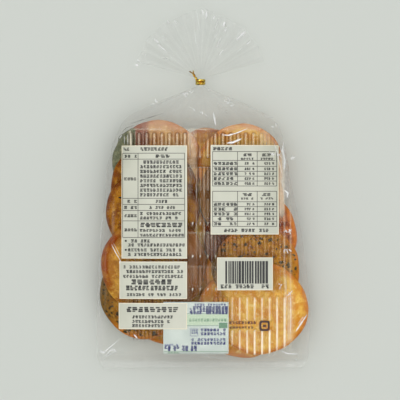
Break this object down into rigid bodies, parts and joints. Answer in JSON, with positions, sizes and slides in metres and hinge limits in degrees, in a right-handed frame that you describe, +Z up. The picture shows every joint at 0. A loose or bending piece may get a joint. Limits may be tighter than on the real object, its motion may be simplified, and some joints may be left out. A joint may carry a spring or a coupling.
{
  "type": "bag of rice crackers",
  "caption": "Clear film bag with a flat sealed end, a neck closed by a gold twist tie and a pleated fan above it, filled with round rice crackers in a thin ribbed tray.",
  "frame": {"origin": "on the resting surface, below the middle of the bag's box", "axes": "+X across the bag, +Y from the sealed end towards the tie and the fan, +Z up from the surface towards the shown side"},
  "size_m": [0.156, 0.265, 0.048],
  "materials": {
    "film": "clear glossy film",
    "foil": "glossy gold foil",
    "tray": "clear glossy thermoformed sheet",
    "cracker": "baked and glazed rice, satin",
    "seaweed": "dry pressed seaweed",
    "label_white": "opaque white print on glossy film",
    "ink": "printed marks",
    "sachet": "coated paper"
  },
  "bodies": {
    "root": {"bag": "film", "tie": "foil"}
  },
  "joints": []
}
